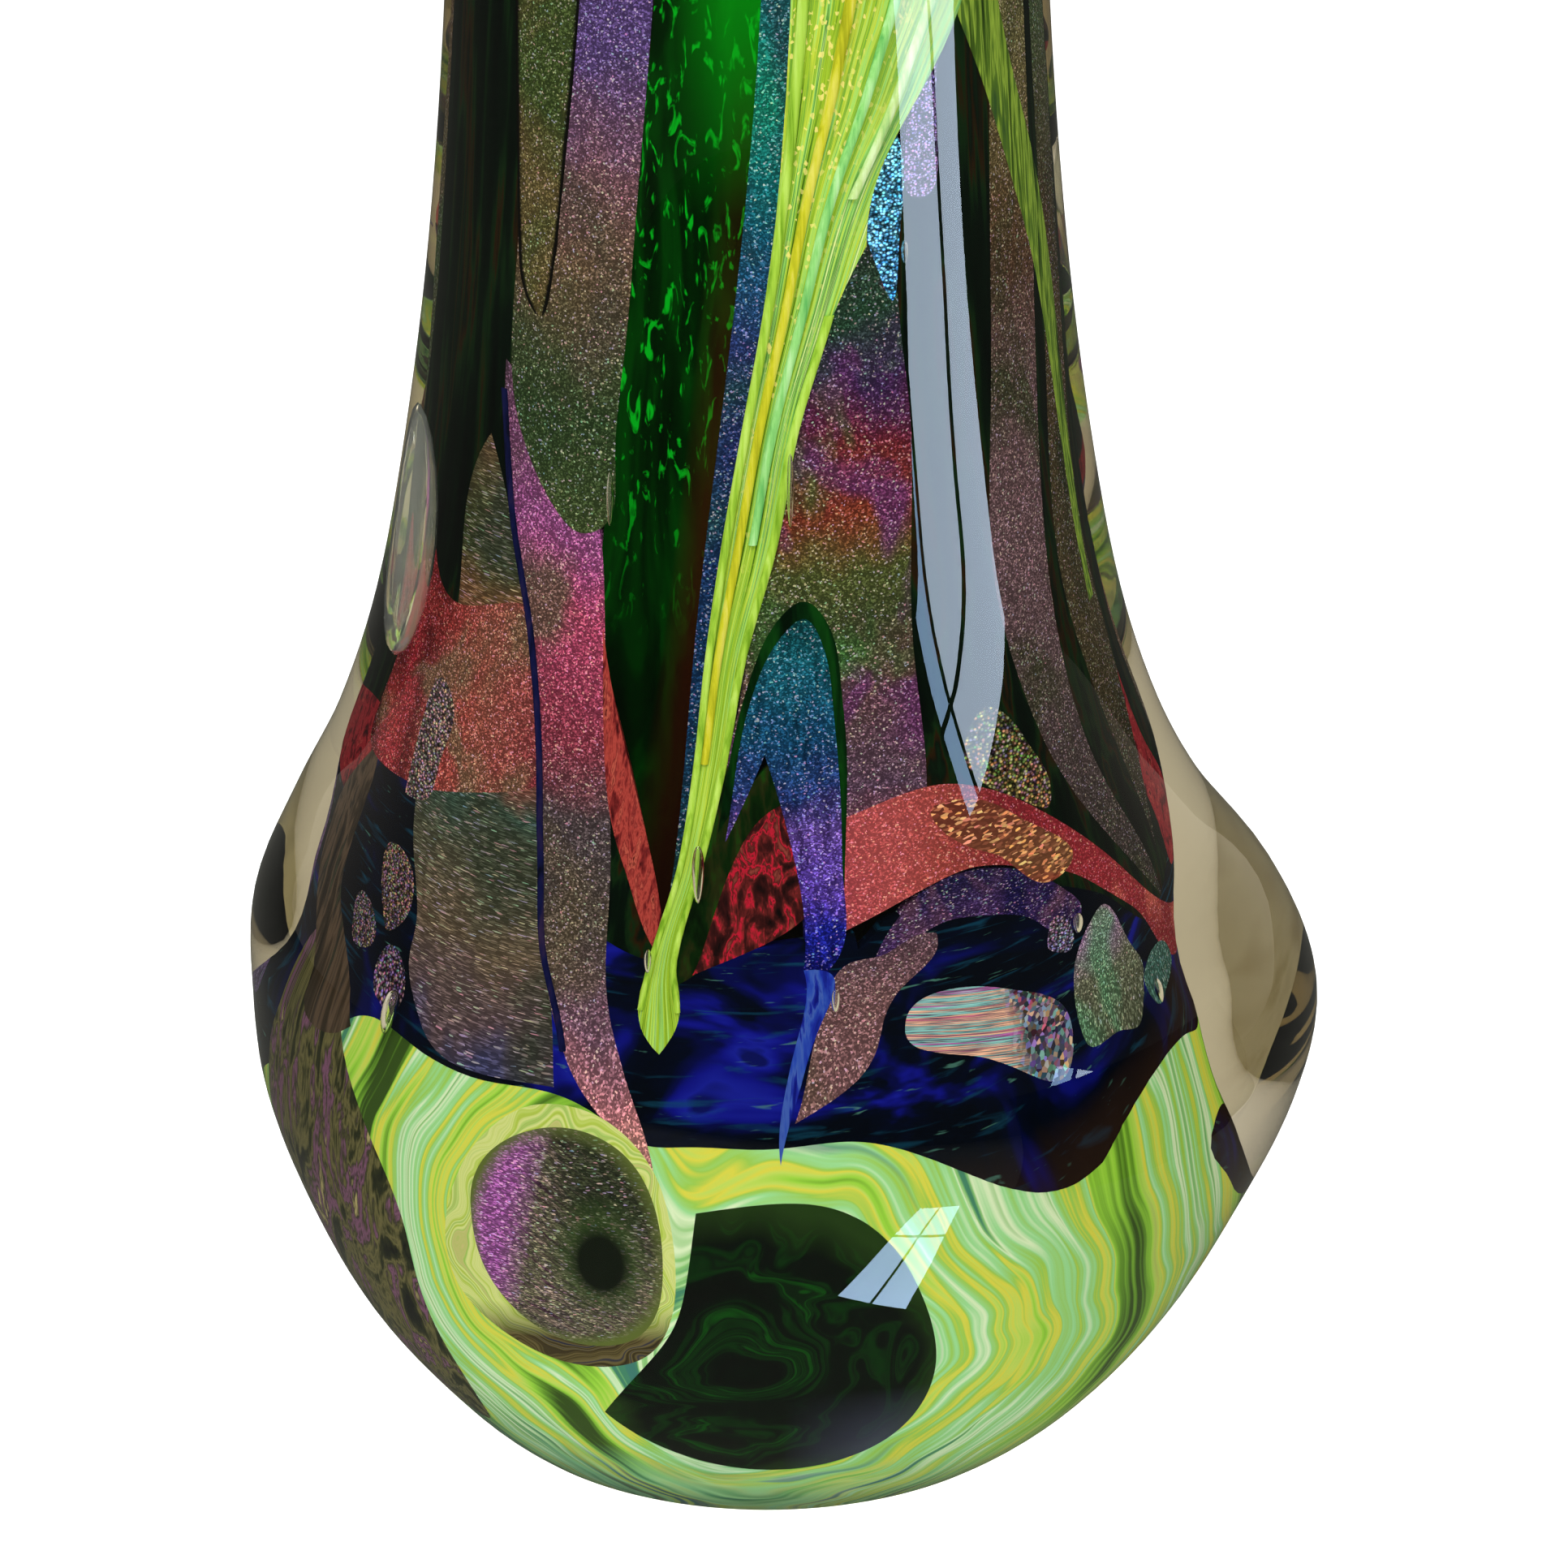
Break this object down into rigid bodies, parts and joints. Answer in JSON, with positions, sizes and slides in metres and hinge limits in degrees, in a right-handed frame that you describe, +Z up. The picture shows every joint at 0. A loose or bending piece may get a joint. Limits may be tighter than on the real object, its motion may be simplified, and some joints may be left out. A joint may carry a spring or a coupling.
{
  "type": "vase",
  "caption": "Thick cased art glass vase: rounded belly, tall narrow neck, flared round lip and flat foot, with coloured glass ribbons, foil panels, trails and eyes sealed under clear glass.",
  "frame": {"origin": "on the flat foot, where the neck's axis meets the surface that the vase stands on", "axes": "+Z up along the neck's axis; -Y towards the front, where the long lime trail ends in its bulb; +X towards the side that the belly leans to"},
  "size_m": [0.1394, 0.1392, 0.3],
  "materials": {
    "clear_glass": "polished",
    "lining_glass": "polished",
    "lime_glass": "polished",
    "lime_swirl_glass": "polished, swirled streaks",
    "blue_glass": "polished",
    "cobalt_glass": "polished",
    "teal_glass": "polished",
    "cyan_foil_glass": "glittering",
    "violet_foil_glass": "glittering",
    "bronze_foil_glass": "glittering",
    "pink_foil_glass": "glittering",
    "gold_foil_glass": "coarsely glittering",
    "red_glass": "polished, streaked",
    "brown_glass": "polished",
    "green_glass": "polished"
  },
  "bodies": {
    "root": {"clear_casing": "clear_glass", "inner_gather": "lining_glass", "clear_lip": "clear_glass", "lime_trail": "lime_glass", "lime_thread": "lime_glass", "blue_trail": "blue_glass", "cyan_patch": "cyan_foil_glass", "violet_flash": "violet_foil_glass", "teal_strip": "teal_glass", "teal_arch": "teal_glass", "arch_rim": "green_glass", "red_centre": "red_glass", "green_wedge": "green_glass", "purple_eye": "violet_foil_glass", "eye_halo": "lime_glass", "green_eye": "green_glass", "red_drape": "red_glass", "olive_strip": "bronze_foil_glass", "violet_strip": "violet_foil_glass", "violet_band": "violet_foil_glass", "long_spot": "gold_foil_glass", "tall_spot": "gold_foil_glass", "edge_spot": "gold_foil_glass", "low_spot": "gold_foil_glass", "red_veil": "red_glass", "bronze_panel": "bronze_foil_glass", "brown_ribbon": "brown_glass", "olive_ribbon": "brown_glass", "small_spot": "gold_foil_glass", "gold_spot": "gold_foil_glass", "gold_patch": "gold_foil_glass", "pink_bend": "pink_foil_glass", "violet_bend": "violet_foil_glass", "streaked_oval": "pink_foil_glass", "pink_triangle": "pink_foil_glass", "teal_spot": "teal_glass", "bronze_strip": "bronze_foil_glass", "edge_strip": "bronze_foil_glass", "red_ribbon": "red_glass", "red_edge": "red_glass", "glitter_arch": "bronze_foil_glass", "green_window": "green_glass", "back_trail": "lime_glass", "back_arch": "teal_glass", "back_violet_strip": "violet_foil_glass", "back_olive_strip": "bronze_foil_glass", "back_bronze_panel": "bronze_foil_glass", "back_purple_panel": "violet_foil_glass", "back_oval": "pink_foil_glass", "back_ribbon": "red_glass", "back_eye": "green_glass", "green_ground": "green_glass", "cobalt_ground": "cobalt_glass", "lime_base": "lime_swirl_glass"}
  },
  "joints": []
}
